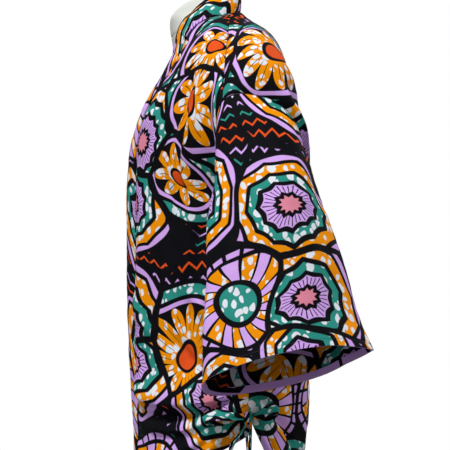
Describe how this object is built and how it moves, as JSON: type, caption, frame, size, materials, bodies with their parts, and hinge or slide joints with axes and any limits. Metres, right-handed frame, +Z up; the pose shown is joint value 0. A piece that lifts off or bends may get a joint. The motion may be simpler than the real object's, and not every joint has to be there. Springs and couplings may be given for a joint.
{
  "type": "kimono jacket on a dress form",
  "caption": "Loose kimono jacket of wax-printed cotton with a folded neckband, wide short sleeves and side ties, standing on a limbless dress form with a round base.",
  "frame": {"origin": "centre of the underside of the dress form's round base", "axes": "+Z up, -Y the way the jacket faces, +X the wearer's left"},
  "size_m": [0.8012, 0.3837, 0.9387],
  "materials": {
    "printed_cotton": "stiff plain-woven cotton with an all-over wax print",
    "form_shell": "smooth off-white",
    "stand_steel": "satin"
  },
  "bodies": {
    "root": {"left_front": "printed_cotton", "right_front": "printed_cotton", "back": "printed_cotton", "neckband": "printed_cotton", "left_sleeve": "printed_cotton", "right_sleeve": "printed_cotton", "left_tie_knot": "printed_cotton", "left_tie_front_loop": "printed_cotton", "left_tie_back_loop": "printed_cotton", "left_tie_front_end": "printed_cotton", "left_tie_back_end": "printed_cotton", "right_tie_knot": "printed_cotton", "right_tie_front_loop": "printed_cotton", "right_tie_back_loop": "printed_cotton", "right_tie_front_end": "printed_cotton", "right_tie_back_end": "printed_cotton", "dress_form": "form_shell", "pole": "stand_steel", "base": "stand_steel"}
  },
  "joints": []
}
